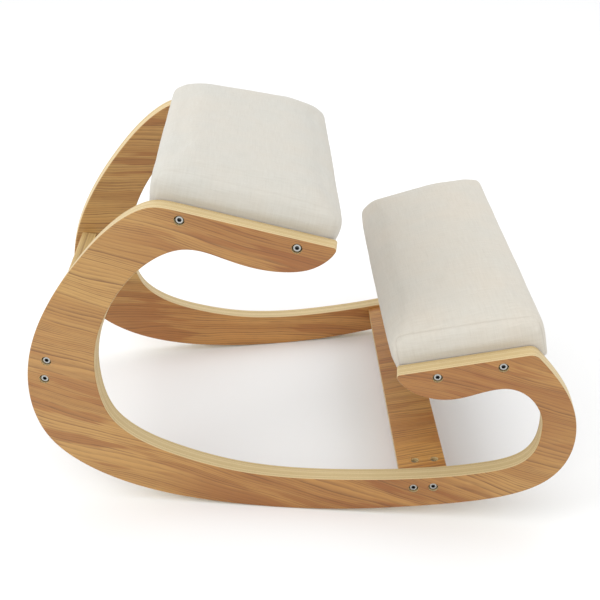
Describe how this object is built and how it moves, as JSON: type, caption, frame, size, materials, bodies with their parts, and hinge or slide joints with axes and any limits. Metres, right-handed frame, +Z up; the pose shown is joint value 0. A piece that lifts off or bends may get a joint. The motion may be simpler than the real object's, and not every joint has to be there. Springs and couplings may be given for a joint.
{
  "type": "rocking kneeling chair",
  "caption": "Rocking kneeling chair: plywood loop side frames with curved runners carry a sloped padded seat and a sloped padded knee rest.",
  "frame": {"origin": "middle of the chair's footprint, on the floor under the runners", "axes": "+X towards the knee rest, the way the sitter faces; +Y to the sitter's left; +Z up"},
  "size_m": [0.7025, 0.5446, 0.4766],
  "materials": {
    "ply": "satin lacquered oak-veneered plywood, pale laminated edges",
    "stretcher_wood": "satin lacquered wood",
    "board_ply": "raw plywood",
    "foam": "cut polyurethane foam",
    "cover_fabric": "off-white linen weave",
    "dust_cloth": "thin non-woven cloth",
    "staple_steel": "zinc plated",
    "bolt_steel": "zinc plated",
    "nut_steel": "zinc plated"
  },
  "bodies": {
    "root": {"right_side_frame": "ply", "left_side_frame": "ply", "front_stretcher": "stretcher_wood", "rear_stretcher": "stretcher_wood", "seat_board": "board_ply", "knee_board": "board_ply", "seat_foam": "foam", "knee_foam": "foam", "seat_cover": "cover_fabric", "knee_cover": "cover_fabric", "seat_dust_cover": "dust_cloth", "knee_dust_cover": "dust_cloth", "seat_staples": "staple_steel", "knee_staples": "staple_steel", "seat_bolts": "bolt_steel", "knee_bolts": "bolt_steel", "front_stretcher_bolts": "bolt_steel", "rear_stretcher_bolts": "bolt_steel", "seat_barrel_nuts": "nut_steel", "knee_barrel_nuts": "nut_steel", "front_stretcher_barrel_nuts": "nut_steel", "rear_stretcher_barrel_nuts": "nut_steel"}
  },
  "joints": []
}
